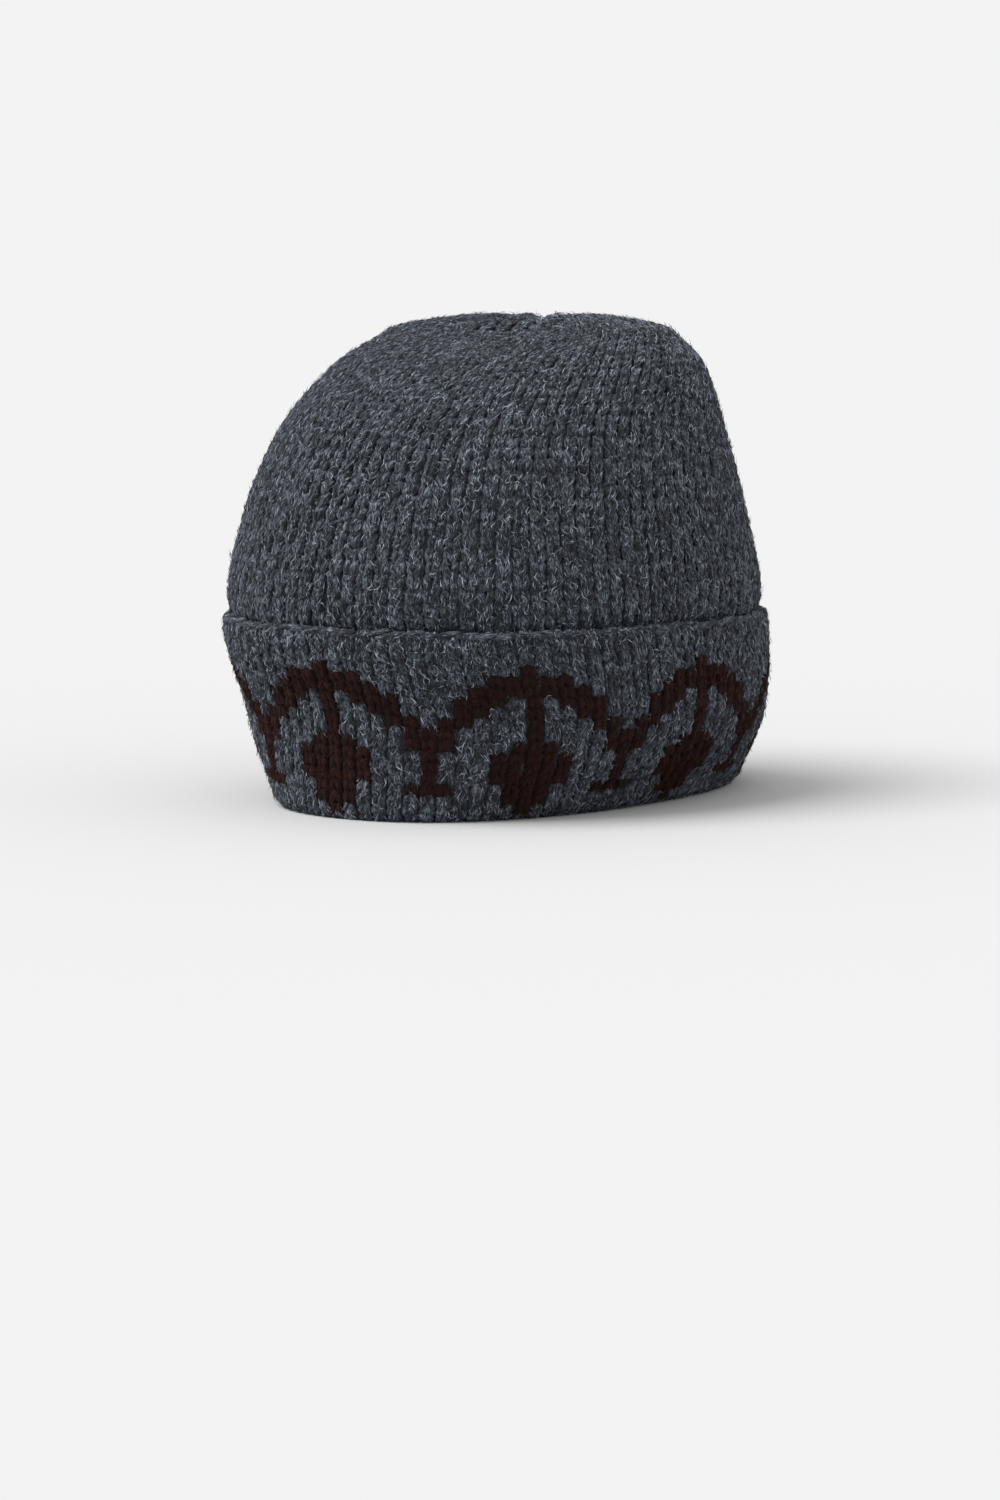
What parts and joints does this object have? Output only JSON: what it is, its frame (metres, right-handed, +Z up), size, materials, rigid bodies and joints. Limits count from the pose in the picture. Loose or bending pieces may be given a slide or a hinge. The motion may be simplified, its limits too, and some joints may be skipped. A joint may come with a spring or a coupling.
{
  "type": "cuffed beanie",
  "caption": "Close-fitting knitted wool hat with a gathered crown and a deep turned-up cuff that carries a knitted arcade border.",
  "frame": {"origin": "centre of the bounding box, on the surface that the rim stands on", "axes": "+Z up from the rim to the gathered top, -Y towards the forehead, +X towards the wearer's left"},
  "size_m": [0.2038, 0.241, 0.194],
  "materials": {
    "crown_wool": "brushed charcoal melange knit",
    "cuff_wool": "brushed charcoal melange knit with a dark brown knitted-in border"
  },
  "bodies": {
    "root": {"crown": "crown_wool", "cuff": "cuff_wool"}
  },
  "joints": []
}
